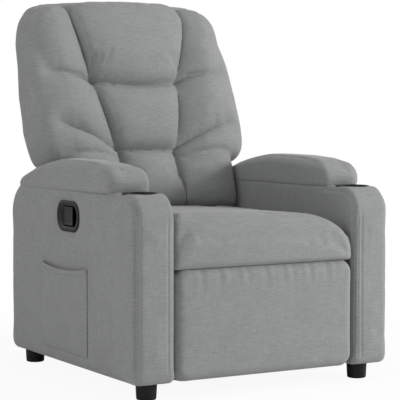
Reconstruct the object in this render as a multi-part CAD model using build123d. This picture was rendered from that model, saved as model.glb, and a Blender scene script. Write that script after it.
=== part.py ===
from build123d import *
import math
import os

os.makedirs("parts", exist_ok=True)

# Recliner armchair, in millimetres. X runs to the viewer's right, Y to the back and Z up from the floor.
# The chair faces -Y. Left and right are the sitter's, so the right arm is on the -X side.

# Arms
arm_outer = 385.0
arm_inner = 274.0
arm_front = -455.0
arm_rear = 319.0
arm_bottom = 45.0
arm_top = 522.0
arm_wall = 18.0
arm_nose_radius = 60.0
arm_rear_radius = 90.0
arm_bottom_radius = 24.0
arm_edge = 12.0
overcut = 1.0

# Wooden frame inside each arm, which fills this share of the hollow's width
arm_frame_share = 0.6
arm_frame_bar = 45.0
arm_frame_top = 440.0
arm_frame_middle_low = 205.0
arm_frame_middle_high = 265.0
arm_cavity_top = 445.0

# Arm pads
pad_front = -303.0
pad_rear = 252.0
pad_front_height = 28.0
pad_shoulder = 41.0
pad_height = 62.0
pad_crown = 12.0
pad_slope_start = 89.0
pad_rear_height = 4.0
pad_edge_drop = 10.0
pad_edge_width = 12.0
pad_tail_out = 10.0
pad_tail_up = 9.0
pad_nose_up = 5.0
pad_lift = 0.3

# Cup holders
cup_y = -364.0
cup_rim_radius = 47.5
cup_rim_thick = 3.5
cup_outer_radius = 43.5
cup_wall = 2.0
cup_depth = 72.0
cup_floor = 3.0
cup_fit = 0.3

# Feet and their screws
foot_off_middle = 2.5
foot_front_y = -392.0
foot_rear_y = 288.0
foot_top_radius = 29.0
foot_bottom_radius = 26.0
foot_round = 5.0
foot_screw_radius = 4.0
foot_screw_low = 12.0
foot_screw_high = 95.0
screw_fit = 0.06

# Cross rails between the arms and their bolts
cross_rail_low = 50.0
cross_rail_high = 90.0
cross_rail_depth = 40.0
mid_rail_y = -80.0
rear_rail_y = 270.0
bolt_radius = 4.0
bolt_height = 78.0
bolt_in_rail = 40.0
bolt_short_of_face = 10.0
bolt_head_radius = 7.0
bolt_head_thick = 1.5

# Steel side layers, counted inward from the arm: base rail, swing links, seat plate,
# outer footrest links and inner footrest links
link_thick = 4.0
link_gap = 2.0
link_half = 10.0
swing_half = 11.0
pin_radius = 4.0
pin_fit = 0.06

# Seat glide
swing_length = 70.0
swing_lean = 18.0
swing_top_height = 300.0
swing_front_y = -70.0
swing_rear_y = 110.0
base_rail_half = 18.0
base_rail_bolt_ys = (-30.0, 20.0)
plate_edge = 15.0
plate_neck = 40.0

# Footrest linkage. Angles run from straight ahead up.
main_pivot_y = -265.0
main_pivot_z = 292.0
main_length = 235.0
main_angle = -118.0
long_y = 172.0
long_z = 135.0
guide_offset = 60.0
tie_offset = 55.0
tube_offset = 60.0
tube_radius = 12.0
tube_wall = 2.0

# Footrest panel
front_setback = 8.0
panel_front = arm_front + front_setback
panel_low = 48.0
panel_top_gap = 2.5
panel_side_gap = 4.0
panel_half = arm_inner - panel_side_gap
panel_thick = 62.7
panel_edge = 30.0
panel_draw_in = 14.0
panel_back_draw_in = 2.0
board_gap = 0.3
board_thick = 15.0
board_side_inset = 15.0
board_half = panel_half - board_side_inset
board_low_inset = 12.0
board_high_inset = 9.5
bracket_flange = 28.0
bracket_flange_thick = 3.0
bracket_edge = 13.0
bracket_foot = 10.0

# Seat frame and seat cushion
seat_rail_low = 345.0
seat_rail_high = 393.0
seat_rail_width = 30.0
seat_rail_setback = 27.0
seat_rail_front = panel_front + seat_rail_setback
seat_rail_rear = 160.0
seat_cross_depth = 40.0
spring_wire = 2.0
spring_count = 5
spring_spacing = 84.0
spring_swing = 18.0
spring_pitch = 25.0
spring_bend = 8.0
spring_lift = 0.1
cushion_lift = 0.4
cushion_front = panel_front
cushion_rear = 140.0
cushion_side_gap = 3.0
cushion_half = arm_inner - cushion_side_gap
cushion_low = 332.0
cushion_height = 139.0
cushion_side_height = 22.0
cushion_side_rise = 30.0
cushion_shoulder_x = 150.0
cushion_roll = 24.0
cushion_tail = 42.0
cushion_draw_in = 16.0
cushion_lip_lift = 12.0
cushion_lip_gap = 1.0

# Back, in its own frame: x across, t up along the back, n out of its front face
back_origin_y = 212.0
back_origin_z = 609.0
back_lean = 21.6
back_base = -40.0
back_seam = -8.0
wing_overhang = 38.0
back_half = arm_inner + wing_overhang
back_side_gap = 6.0
back_low_half = arm_inner - back_side_gap
back_bottom = -190.0
wing_bottom = -28.0
chamber_gap = 0.6
head_top = 486.0
head_top_half = 189.0
head_bottom = 220.0
head_bottom_half = 133.5
lumbar_bottom = 0.0
lumbar_bottom_half = 90.5
strip_bottom_half = 88.0
upper_seam_outer = 248.0
lower_seam_outer = 92.0
wing_top_outer = 446.0
wing_top_half = 290.0
head_crown = 44.0
head_top_fall = 14.0
lumbar_crown = 36.0
strip_crown = 34.0
upper_wing_crown = 46.0
upper_wing_edge = 20.0
upper_wing_fall = 22.0
middle_wing_crown = 52.0
middle_wing_edge = 46.0
lower_wing_crown = 44.0
lower_wing_edge = 42.0
low_wing_crown = 32.0
hinge_t = -233.0
rail_n = -62.0
back_rail_thick = 40.0
back_rail_width = 28.0
back_rail_low = -180.0
back_rail_high = 378.0
back_cross_high = 40.0
back_bracket_high = 60.0
back_bracket_half = 12.0
web_count = 4
web_width = 50.0
web_thick = 2.0
cover_wall = 12.0
cover_top = 472.0
cover_corner_start = 382.0
cover_corner_half = 235.0
cover_corner_in = 20.0
cover_corner_down = 26.0
cover_corner_rise = 4.0
cover_lap = 2.0
cover_lip_t = 12.0
cover_lip_n = 26.0
cover_brow_t = 34.0
cover_brow_n = 43.0
cover_crest_t = 393.0
cover_crest_n = -99.0
cover_upper_t = 351.0
cover_upper_n = -116.0
cover_belly_t = 91.0
cover_belly_n = -146.0
cover_foot_t = -6.0
cover_foot_n = -128.0
cover_skirt_t = 20.0
cover_skirt_n = -131.0
cover_hem_n = -106.0
cover_side_wall = 10.0
cover_open_below = 10.0
cover_front_low = -80.0
cover_reach = 200.0

# Handle on the right arm
bezel_y = -61.0
bezel_z = 448.0
bezel_length = 136.0
bezel_height = 84.0
bezel_corner = 38.0
bezel_proud = 4.0
tub_front = -107.0
tub_rear = -18.0
tub_low = 422.0
tub_high = 474.0
tub_depth = 26.0
tub_wall = 2.5
tub_fit = 0.3
paddle_front = -83.0
paddle_pivot_y = -28.0
paddle_pivot_out = 1.0
paddle_thick = 6.0
paddle_barrel = 4.0
paddle_end_gap = 1.0
handle_pin_radius = 2.5
handle_pin_fit = 0.06

# Side pocket on the right arm
pocket_front = -188.0
pocket_rear = 87.0
pocket_low = 82.0
pocket_high = 316.0
pocket_sag = 12.0
pocket_proud = 9.0
pocket_cloth = 2.0
pocket_seam = 5.0


# Shared helpers

def save(name, shape):
    export_step(shape, f"parts/{name}.step")


def mirrored(shape):
    return mirror(shape, about=Plane.YZ)


def block(x_from, x_to, y_from, y_to, z_from, z_to):
    size = Box(x_to - x_from, y_to - y_from, z_to - z_from)
    return Pos((x_from + x_to) / 2, (y_from + y_to) / 2, (z_from + z_to) / 2) * size


def rod_x(radius, x_from, x_to, y, z):
    return Pos((x_from + x_to) / 2, y, z) * Rot(0, 90, 0) * Cylinder(radius, abs(x_to - x_from))


def rod_z(radius, x, y, z_from, z_to):
    return Pos(x, y, (z_from + z_to) / 2) * Cylinder(radius, z_to - z_from)


def side_slab(outline, x_from, x_to):
    return extrude(Plane.YZ.offset(x_from) * outline, amount=x_to - x_from)


def closed_face(edges):
    return make_face(Wire(edges))


def layer_outer(layer):
    return arm_inner - layer * (link_thick + link_gap)


def layer_inner(layer):
    return layer_outer(layer) - link_thick


def reach(point, length, angle):
    ahead = length * math.cos(math.radians(angle))
    up = length * math.sin(math.radians(angle))
    return (point[0] - ahead, point[1] + up)


def slot(start, end, half):
    length = math.dist(start, end)
    angle = math.degrees(math.atan2(end[1] - start[1], end[0] - start[0]))
    middle = ((start[0] + end[0]) / 2, (start[1] + end[1]) / 2)
    return Pos(*middle) * SlotCenterToCenter(length, 2 * half, rotation=angle)


def link(start, end, half, layer, holes):
    bar = side_slab(slot(start, end, half), layer_inner(layer), layer_outer(layer))
    return drilled(bar, layer, holes)


def drilled(bar, layer, holes):
    for point in holes:
        hole = rod_x(pin_radius + pin_fit, layer_inner(layer) - overcut, layer_outer(layer) + overcut, *point)
        bar = bar - hole
    return bar


def pin(point, layer):
    return rod_x(pin_radius, layer_inner(layer + 1), layer_outer(layer), *point)


def both_sides(shapes):
    return Compound(children=[s for shape in shapes for s in (shape, mirrored(shape))])


# Linkage points, as (y, z)

swing_front_top = (swing_front_y, swing_top_height)
swing_rear_top = (swing_rear_y, swing_top_height)
swing_front_foot = reach(swing_front_top, swing_length, swing_lean - 90)
swing_rear_foot = reach(swing_rear_top, swing_length, swing_lean - 90)
main_pivot = (main_pivot_y, main_pivot_z)
long_length = math.hypot(long_y, long_z)
long_angle = math.degrees(math.atan2(long_z, long_y))
main_end = reach(main_pivot, main_length, main_angle)
panel_pivot = reach(main_end, long_length, long_angle)
guide_pivot = reach(main_pivot, guide_offset, long_angle)
guide_end = reach(main_end, guide_offset, long_angle)
tie_pivot = reach(main_end, -tie_offset, main_angle)
tie_end = reach(panel_pivot, -tie_offset, main_angle)
tube_point = reach(main_pivot, tube_offset, main_angle)


def back_point(t, n):
    lean = math.radians(back_lean)
    y = back_origin_y + t * math.sin(lean) - n * math.cos(lean)
    z = back_origin_z + t * math.cos(lean) + n * math.sin(lean)
    return (y, z)


back_hinge = back_point(hinge_t, rail_n)
back_frame = Plane(
    origin=(0, back_origin_y, back_origin_z),
    x_dir=(1, 0, 0),
    z_dir=(0, -math.cos(math.radians(back_lean)), math.sin(math.radians(back_lean))),
)


# Arm covers: padded shells with a rounded nose in front and a long curve at the rear

def quarter(centre, radius, start, end, side_y, side_z):
    curve = math.sqrt(0.5) * radius
    return ThreePointArc(start, (centre[0] + side_y * curve, centre[1] + side_z * curve), end)


def arm_outline():
    corner = arm_bottom_radius
    nose = arm_nose_radius
    tail = arm_rear_radius
    low_front = (arm_front + corner, arm_bottom)
    low_rear = (arm_rear - corner, arm_bottom)
    rear_low = (arm_rear, arm_bottom + corner)
    rear_high = (arm_rear, arm_top - tail)
    top_rear = (arm_rear - tail, arm_top)
    top_front = (arm_front + nose, arm_top)
    front_high = (arm_front, arm_top - nose)
    front_low = (arm_front, arm_bottom + corner)
    return closed_face(
        [
            Line(low_front, low_rear),
            quarter((low_rear[0], rear_low[1]), corner, low_rear, rear_low, 1, -1),
            Line(rear_low, rear_high),
            quarter((top_rear[0], rear_high[1]), tail, rear_high, top_rear, 1, 1),
            Line(top_rear, top_front),
            quarter((top_front[0], front_high[1]), nose, top_front, front_high, -1, 1),
            Line(front_high, front_low),
            quarter((low_front[0], front_low[1]), corner, front_low, low_front, -1, -1),
        ]
    )


def rounded_sides(solid, radius):
    edges = solid.edges().filter_by(lambda e: e.bounding_box().max.X - e.bounding_box().min.X < 0.01)
    return fillet(edges, radius)


def cup_profile(outer, inner, top, low, floor):
    return closed_face(
        [
            Line((0, low), (outer, low)),
            Line((outer, low), (outer, arm_top)),
            Line((outer, arm_top), (cup_rim_radius, arm_top)),
            Line((cup_rim_radius, arm_top), (cup_rim_radius, top)),
            Line((cup_rim_radius, top), (inner, top)),
            Line((inner, top), (inner, low + floor)),
            Line((inner, low + floor), (0, low + floor)),
            Line((0, low + floor), (0, low)),
        ]
    )


cup_x = (arm_outer + arm_inner) / 2
cup_bottom = arm_top - cup_depth
frame_inner = arm_inner + arm_wall
frame_outer = frame_inner + arm_frame_share * (arm_outer - arm_inner - 2 * arm_wall)
bolt_end = frame_outer - bolt_short_of_face
foot_x = cup_x - foot_off_middle
cavity_front = arm_front + arm_wall
cavity_rear = arm_rear - arm_wall
cavity_low = arm_bottom + arm_wall

arm_cover = rounded_sides(side_slab(arm_outline(), arm_inner, arm_outer), arm_edge)
arm_cover -= block(frame_inner, arm_outer - arm_wall, cavity_front, cavity_rear, cavity_low, arm_cavity_top)
arm_cover -= rod_z(cup_outer_radius + cup_fit, cup_x, cup_y, cup_bottom - cup_fit, arm_top + overcut)

arm_frame = block(frame_inner, frame_outer, cavity_front, cavity_rear, cavity_low, arm_frame_top)
for low, high in (
    (cavity_low + arm_frame_bar, arm_frame_middle_low),
    (arm_frame_middle_high, arm_frame_top - arm_frame_bar),
):
    window = block(
        frame_inner - overcut,
        frame_outer + overcut,
        cavity_front + arm_frame_bar,
        cavity_rear - arm_frame_bar,
        low,
        high,
    )
    arm_frame -= window

# Feet with their screws up into the arm frames

foot_ys = (foot_front_y, foot_rear_y)
foot_outline = closed_face(
    [
        Line((0, 0), (foot_bottom_radius - foot_round, 0)),
        ThreePointArc(
            (foot_bottom_radius - foot_round, 0),
            (foot_bottom_radius - foot_round * (1 - math.sqrt(0.5)), foot_round * (1 - math.sqrt(0.5))),
            (foot_bottom_radius, foot_round),
        ),
        Line((foot_bottom_radius, foot_round), (foot_top_radius, arm_bottom)),
        Line((foot_top_radius, arm_bottom), (0, arm_bottom)),
        Line((0, arm_bottom), (0, 0)),
    ]
)
foot = revolve(Plane.XZ * foot_outline, axis=Axis.Z)
foot -= rod_z(foot_screw_radius + screw_fit, 0, 0, foot_screw_low, arm_bottom + overcut)
for y in foot_ys:
    hole = rod_z(foot_screw_radius + screw_fit, foot_x, y, arm_bottom - overcut, foot_screw_high)
    arm_cover -= hole
    arm_frame -= hole
foot_screws = [rod_z(foot_screw_radius, foot_x, y, foot_screw_low, foot_screw_high) for y in foot_ys]
save("front_feet", both_sides([Pos(foot_x, foot_front_y, 0) * foot]))
save("rear_feet", both_sides([Pos(foot_x, foot_rear_y, 0) * foot]))
save("foot_screws", both_sides(foot_screws))

# Cross rails, base rails and the bolts that hold them to the arm frames

cross_rails = {}
bolts = []
for name, y in (("mid_cross_rail", mid_rail_y), ("rear_cross_rail", rear_rail_y)):
    half = cross_rail_depth / 2
    rail = block(-arm_inner, arm_inner, y - half, y + half, cross_rail_low, cross_rail_high)
    hole = rod_x(bolt_radius + screw_fit, arm_inner - bolt_in_rail, bolt_end, y, bolt_height)
    arm_cover -= hole
    arm_frame -= hole
    rail -= hole
    rail -= mirrored(hole)
    bolts.append(rod_x(bolt_radius, arm_inner - bolt_in_rail, bolt_end, y, bolt_height))
    save(name, rail)

base_rail_z = swing_front_foot[1]
base_rail = link(swing_front_foot, swing_rear_foot, base_rail_half, 0, [swing_front_foot, swing_rear_foot])
for y in base_rail_bolt_ys:
    hole = rod_x(bolt_radius + screw_fit, layer_inner(0) - overcut, bolt_end, y, base_rail_z)
    arm_cover -= hole
    arm_frame -= hole
    base_rail -= hole
    shank = rod_x(bolt_radius, layer_inner(0), bolt_end, y, base_rail_z)
    head = rod_x(bolt_head_radius, layer_inner(0) - bolt_head_thick, layer_inner(0), y, base_rail_z)
    bolts.append(shank + head)
save("frame_bolts", both_sides(bolts))
save("base_rail_left", base_rail)
save("base_rail_right", mirrored(base_rail))
save("base_pivot_pins", both_sides([pin(swing_front_foot, 0), pin(swing_rear_foot, 0)]))

# Handle: bezel with its tub, hinge pin and paddle, on the right arm's outer face

tub_cut = block(
    -arm_outer - overcut,
    -arm_outer + tub_depth + tub_fit,
    tub_front - tub_wall - tub_fit,
    tub_rear + tub_wall + tub_fit,
    tub_low - tub_wall - tub_fit,
    tub_high + tub_wall + tub_fit,
)
paddle_pivot_x = -arm_outer + paddle_pivot_out
bezel_plate = Pos(bezel_y, bezel_z) * RectangleRounded(bezel_length, bezel_height, bezel_corner)
bezel = side_slab(bezel_plate, -arm_outer - bezel_proud, -arm_outer)
bezel += block(
    -arm_outer,
    -arm_outer + tub_depth,
    tub_front - tub_wall,
    tub_rear + tub_wall,
    tub_low - tub_wall,
    tub_high + tub_wall,
)
bezel -= block(
    -arm_outer - bezel_proud - overcut,
    -arm_outer + tub_depth - tub_wall,
    tub_front,
    tub_rear,
    tub_low,
    tub_high,
)
handle_pin_hole = rod_z(
    handle_pin_radius + handle_pin_fit,
    paddle_pivot_x,
    paddle_pivot_y,
    tub_low - tub_wall - overcut,
    tub_high + tub_wall + overcut,
)
bezel -= handle_pin_hole
paddle_low = tub_low + paddle_end_gap
paddle_high = tub_high - paddle_end_gap
paddle = block(
    paddle_pivot_x - paddle_thick / 2,
    paddle_pivot_x + paddle_thick / 2,
    paddle_front,
    paddle_pivot_y,
    paddle_low,
    paddle_high,
)
paddle += rod_z(paddle_barrel, paddle_pivot_x, paddle_pivot_y, paddle_low, paddle_high)
paddle -= handle_pin_hole
save("handle_bezel", bezel)
save("pull_handle", paddle)
save(
    "handle_pin",
    rod_z(handle_pin_radius, paddle_pivot_x, paddle_pivot_y, tub_low - tub_wall, tub_high + tub_wall),
)

# Side pocket: a cloth panel that stands off the arm, sewn down at its sides and foot

pocket_outline = closed_face(
    [
        Line((pocket_front, pocket_low), (pocket_rear, pocket_low)),
        Line((pocket_rear, pocket_low), (pocket_rear, pocket_high)),
        ThreePointArc(
            (pocket_rear, pocket_high),
            ((pocket_front + pocket_rear) / 2, pocket_high - pocket_sag),
            (pocket_front, pocket_high),
        ),
        Line((pocket_front, pocket_high), (pocket_front, pocket_low)),
    ]
)
pocket = side_slab(pocket_outline, -arm_outer - pocket_proud, -arm_outer)
pocket -= block(
    -arm_outer - pocket_proud + pocket_cloth,
    -arm_outer + overcut,
    pocket_front + pocket_seam,
    pocket_rear - pocket_seam,
    pocket_low + pocket_seam,
    pocket_high + overcut,
)
save("side_pocket", pocket)

save("arm_cover_left", arm_cover)
save("arm_cover_right", mirrored(arm_cover) - tub_cut)
save("arm_frame_left", arm_frame)
save("arm_frame_right", mirrored(arm_frame))

# Arm pads, lofted across the arm so that their edges drop away from the crown

def pad_section(x, drop):
    low = arm_top + pad_lift
    front = pad_front + drop * 0.4
    shoulder = low + pad_shoulder - drop * 0.6
    top = low + pad_height - drop
    slope = pad_slope_start
    tail = low + pad_rear_height
    face = closed_face(
        [
            Line((front, low), (pad_rear, low)),
            Line((pad_rear, low), (pad_rear, tail)),
            ThreePointArc(
                (pad_rear, tail),
                ((pad_rear + slope) / 2 + pad_tail_out, (tail + top) / 2 + pad_tail_up - drop * 0.2),
                (slope, top),
            ),
            ThreePointArc(
                (slope, top),
                ((slope + front) / 2, top + pad_crown),
                (front + pad_shoulder, top),
            ),
            ThreePointArc(
                (front + pad_shoulder, top),
                (front + pad_shoulder * 0.27, (shoulder + top) / 2 + pad_nose_up),
                (front, low + pad_front_height),
            ),
            Line((front, low + pad_front_height), (front, low)),
        ]
    )
    return Plane.YZ.offset(x) * face


pad_sections = [
    pad_section(arm_inner, pad_edge_drop),
    pad_section(arm_inner + pad_edge_width, pad_edge_drop * 0.3),
    pad_section(cup_x, 0),
    pad_section(arm_outer - pad_edge_width, pad_edge_drop * 0.3),
    pad_section(arm_outer, pad_edge_drop),
]
arm_pad = loft(pad_sections, ruled=True)
save("arm_pad_left", arm_pad)
save("arm_pad_right", mirrored(arm_pad))

# Cup holders

cup_outline = cup_profile(
    cup_outer_radius, cup_outer_radius - cup_wall, arm_top + cup_rim_thick, cup_bottom, cup_floor
)
cup = Pos(cup_x, cup_y, 0) * revolve(Plane.XZ * cup_outline, axis=Axis.Z)
save("cup_holder_left", cup)
save("cup_holder_right", mirrored(cup))

# Swing links that carry the seat

front_swing = link(swing_front_foot, swing_front_top, swing_half, 1, [swing_front_foot, swing_front_top])
rear_swing = link(swing_rear_foot, swing_rear_top, swing_half, 1, [swing_rear_foot, swing_rear_top])
save("front_swing_links", both_sides([front_swing]))
save("rear_swing_links", both_sides([rear_swing]))

# Seat plates, seat frame and springs

plate_rear = back_hinge[0] + plate_edge
plate_front = guide_pivot[0] - plate_edge
plate_high = back_hinge[1] + plate_edge
plate_neck_z = main_pivot_z + plate_edge * 0.8
plate_outline = make_face(
    Polyline(
        (plate_front, plate_high),
        (plate_rear, plate_high),
        (plate_rear, back_hinge[1] - plate_edge),
        (swing_rear_y + plate_edge, swing_top_height - plate_edge),
        (swing_front_y - plate_edge, swing_top_height - plate_edge),
        (swing_front_y - plate_neck, plate_neck_z),
        (main_pivot_y + plate_neck * 0.8, plate_neck_z),
        (main_pivot_y + plate_edge, main_pivot_z - plate_edge),
        (main_pivot_y - plate_edge, main_pivot_z - plate_edge),
        (plate_front, guide_pivot[1] - plate_edge),
        close=True,
    )
)
seat_points = [swing_front_top, swing_rear_top, main_pivot, guide_pivot, back_hinge]
seat_plate = drilled(side_slab(plate_outline, layer_inner(2), layer_outer(2)), 2, seat_points)
save("seat_plate_left", seat_plate)
save("seat_plate_right", mirrored(seat_plate))
save(
    "seat_pivot_pins",
    both_sides(
        [
            pin(swing_front_top, 1),
            pin(swing_rear_top, 1),
            pin(main_pivot, 2),
            pin(guide_pivot, 2),
            pin(back_hinge, 2),
        ]
    ),
)

seat_rail_outer = layer_inner(2)
seat_rail_inner = seat_rail_outer - seat_rail_width
side_rail = block(
    seat_rail_inner, seat_rail_outer, seat_rail_front, seat_rail_rear, seat_rail_low, seat_rail_high
)
save("seat_side_rail_left", side_rail)
save("seat_side_rail_right", mirrored(side_rail))
front_rail_back = seat_rail_front + seat_cross_depth
rear_rail_front = seat_rail_rear - seat_cross_depth
save(
    "seat_front_rail",
    block(-seat_rail_inner, seat_rail_inner, seat_rail_front, front_rail_back, seat_rail_low, seat_rail_high),
)
save(
    "seat_rear_rail",
    block(-seat_rail_inner, seat_rail_inner, rear_rail_front, seat_rail_rear, seat_rail_low, seat_rail_high),
)

spring_z = seat_rail_high + spring_wire + spring_lift
spring_start = front_rail_back - seat_cross_depth / 2
spring_stop = rear_rail_front + seat_cross_depth / 2
spring_turns = int((rear_rail_front - front_rail_back) / spring_pitch)
spring_points = [(0, spring_start, spring_z), (0, front_rail_back, spring_z)]
for turn in range(spring_turns):
    side = spring_swing if turn % 2 else -spring_swing
    spring_points.append((side, front_rail_back + (turn + 0.5) * spring_pitch, spring_z))
spring_points.append((0, rear_rail_front, spring_z))
spring_points.append((0, spring_stop, spring_z))
spring_path = FilletPolyline(*spring_points, radius=spring_bend)
spring_start_plane = Plane(origin=spring_path @ 0, z_dir=spring_path % 0)
spring = sweep(spring_start_plane * Circle(spring_wire), path=spring_path)
first_spring = -spring_spacing * (spring_count - 1) / 2
springs = [Pos(first_spring + spring_spacing * i, 0, 0) * spring for i in range(spring_count)]
save("seat_springs", Compound(children=springs))

# Seat cushion: arched sections from the rolled front to the rear, cut away over the frame

def cushion_section(y, half, low, side, shoulder, top):
    face = closed_face(
        [
            Line((-half, low), (half, low)),
            Line((half, low), (half, side)),
            ThreePointArc(
                (half, side),
                (half - (half - cushion_shoulder_x) * 0.22, side + (shoulder - side) * 0.64),
                (cushion_shoulder_x, shoulder),
            ),
            ThreePointArc((cushion_shoulder_x, shoulder), (0, top), (-cushion_shoulder_x, shoulder)),
            ThreePointArc(
                (-cushion_shoulder_x, shoulder),
                (-half + (half - cushion_shoulder_x) * 0.22, side + (shoulder - side) * 0.64),
                (-half, side),
            ),
            Line((-half, side), (-half, low)),
        ]
    )
    return Plane(origin=(0, y, 0), x_dir=(1, 0, 0), z_dir=(0, -1, 0)) * face


def cushion_slice(y, draw_in, lip_lift, side_rise, shoulder, top):
    low = cushion_low + cushion_lip_lift * lip_lift
    side = cushion_low + cushion_side_height + cushion_side_rise * side_rise
    shoulder_z = cushion_low + cushion_height * shoulder
    top_z = cushion_low + cushion_height * top
    return cushion_section(y, cushion_half - cushion_draw_in * draw_in, low, side, shoulder_z, top_z)


cushion_length = cushion_rear - cushion_front
cushion_sections = [
    cushion_slice(cushion_front, 1, 1, 0.33, 0.69, 0.72),
    cushion_slice(cushion_front + cushion_roll * 0.33, 0.25, 0.17, 0, 0.835, 0.863),
    cushion_slice(cushion_front + cushion_roll, 0, 0, 0, 0.878, 0.921),
    cushion_slice(cushion_front + cushion_length * 0.22, 0, 0, 0.67, 0.907, 0.993),
    cushion_slice(cushion_front + cushion_length * 0.58, 0, 0, 1, 0.907, 1),
    cushion_slice(cushion_rear - cushion_tail, 0, 0, 1, 0.878, 0.935),
    cushion_slice(cushion_rear - cushion_tail * 0.43, 0.125, 0, 1, 0.791, 0.842),
    cushion_slice(cushion_rear, 0.375, 0, 1, 0.576, 0.619),
]
seat_cushion = loft(cushion_sections, ruled=True)
cushion_seat_z = spring_z + spring_wire + cushion_lift
cushion_lip_back = seat_rail_front - cushion_lip_gap
seat_cushion -= block(
    -arm_inner, arm_inner, cushion_lip_back, cushion_rear + overcut, cushion_low - overcut, cushion_seat_z
)
save("seat_cushion", seat_cushion)

# Footrest links on each side and the tube that joins the sides

main_link = link(main_pivot, main_end, link_half, 3, [main_pivot, main_end, tie_pivot])
long_link = link(main_end, panel_pivot, link_half, 4, [main_end, panel_pivot, guide_end])
guide_link = link(guide_pivot, guide_end, link_half, 3, [guide_pivot, guide_end])
tie_link = link(tie_pivot, tie_end, link_half, 4, [tie_pivot, tie_end])
save("footrest_main_link_left", main_link)
save("footrest_main_link_right", mirrored(main_link))
save("footrest_long_link_left", long_link)
save("footrest_long_link_right", mirrored(long_link))
save("footrest_guide_links", both_sides([guide_link]))
save("footrest_tie_links", both_sides([tie_link]))
save("main_link_pins", both_sides([pin(main_end, 3), pin(tie_pivot, 3)]))
save("long_link_pins", both_sides([pin(guide_end, 3)]))
drive_tube = rod_x(tube_radius, -layer_inner(3), layer_inner(3), *tube_point)
drive_tube -= rod_x(tube_radius - tube_wall, -layer_inner(3), layer_inner(3), *tube_point)
save("drive_tube", drive_tube)

# Footrest: board, brackets, pins and the padded panel

panel_high = cushion_low - panel_top_gap
panel_pad_back = panel_front + panel_thick
board_front = panel_pad_back + board_gap
board_back = board_front + board_thick
board_low = panel_low + board_low_inset
board_high = panel_high - board_high_inset
save("footrest_board", block(-board_half, board_half, board_front, board_back, board_low, board_high))
bracket_low = panel_pivot[1] - bracket_edge
bracket_high = tie_end[1] + bracket_edge
bracket_outline = make_face(
    Polyline(
        (board_back, bracket_low - bracket_foot),
        (panel_pivot[0] + bracket_edge, bracket_low),
        (panel_pivot[0] + bracket_edge, panel_pivot[1] + bracket_edge),
        (tie_end[0] + bracket_edge, bracket_high),
        (board_back, bracket_high),
        close=True,
    )
)
bracket = side_slab(bracket_outline, layer_inner(3), layer_outer(3))
bracket += block(
    layer_outer(3) - bracket_flange,
    layer_outer(3),
    board_back,
    board_back + bracket_flange_thick,
    bracket_low - bracket_foot,
    bracket_high,
)
bracket = drilled(bracket, 3, [panel_pivot, tie_end])
save("footrest_bracket_left", bracket)
save("footrest_bracket_right", mirrored(bracket))
save("footrest_pins", both_sides([pin(panel_pivot, 3), pin(tie_end, 3)]))


def panel_section(y, draw_in):
    height = panel_high - panel_low - 2 * draw_in
    face = RectangleRounded(2 * (panel_half - draw_in), height, panel_edge - draw_in / 2)
    return Plane(origin=(0, y, (panel_low + panel_high) / 2), x_dir=(1, 0, 0), z_dir=(0, -1, 0)) * face


panel_depth = panel_pad_back - panel_front
footrest_pad = loft(
    [
        panel_section(panel_pad_back, panel_back_draw_in),
        panel_section(panel_front + panel_depth * 0.45, 0),
        panel_section(panel_front + panel_depth * 0.16, panel_draw_in * 0.25),
        panel_section(panel_front, panel_draw_in),
    ],
    ruled=True,
)
save("footrest_pad", footrest_pad)

# Back frame, webbing and hinge brackets

def on_back(shape):
    return back_frame.location * shape


back_rail_front = rail_n + back_rail_thick / 2
back_rail_rear = rail_n - back_rail_thick / 2
back_rail_outer = layer_inner(3)
back_rail_inner = back_rail_outer - back_rail_width
back_side_rail = on_back(
    block(back_rail_inner, back_rail_outer, back_rail_low, back_rail_high, back_rail_rear, back_rail_front)
)
save("back_side_rail_left", back_side_rail)
save("back_side_rail_right", mirrored(back_side_rail))
save(
    "back_top_rail",
    on_back(
        block(
            -back_rail_inner,
            back_rail_inner,
            back_rail_high - back_cross_high,
            back_rail_high,
            back_rail_rear,
            back_rail_front,
        )
    ),
)
save(
    "back_bottom_rail",
    on_back(
        block(
            -back_rail_inner,
            back_rail_inner,
            back_rail_low,
            back_rail_low + back_cross_high,
            back_rail_rear,
            back_rail_front,
        )
    ),
)
web_span = back_rail_high - back_rail_low - 2 * back_cross_high
web_step = web_span / web_count
webs = []
for i in range(web_count):
    middle = back_rail_low + back_cross_high + web_step * (i + 0.5)
    webs.append(
        block(
            -back_rail_outer,
            back_rail_outer,
            middle - web_width / 2,
            middle + web_width / 2,
            back_rail_front,
            back_rail_front + web_thick,
        )
    )
save("back_webbing", on_back(Compound(children=webs)))
back_bracket = link(back_hinge, back_point(back_bracket_high, rail_n), back_bracket_half, 3, [back_hinge])
save("back_bracket_left", back_bracket)
save("back_bracket_right", mirrored(back_bracket))

# Back chambers: pillows lofted between two edges, with a crown between seams

def drawn_in(corners):
    middle_x = sum(p[0] for p in corners) / 4
    middle_t = sum(p[1] for p in corners) / 4
    moved = []
    for x, t in corners:
        span = math.hypot(middle_x - x, middle_t - t)
        moved.append((x + (middle_x - x) * chamber_gap / span, t + (middle_t - t) * chamber_gap / span))
    return moved


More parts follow.
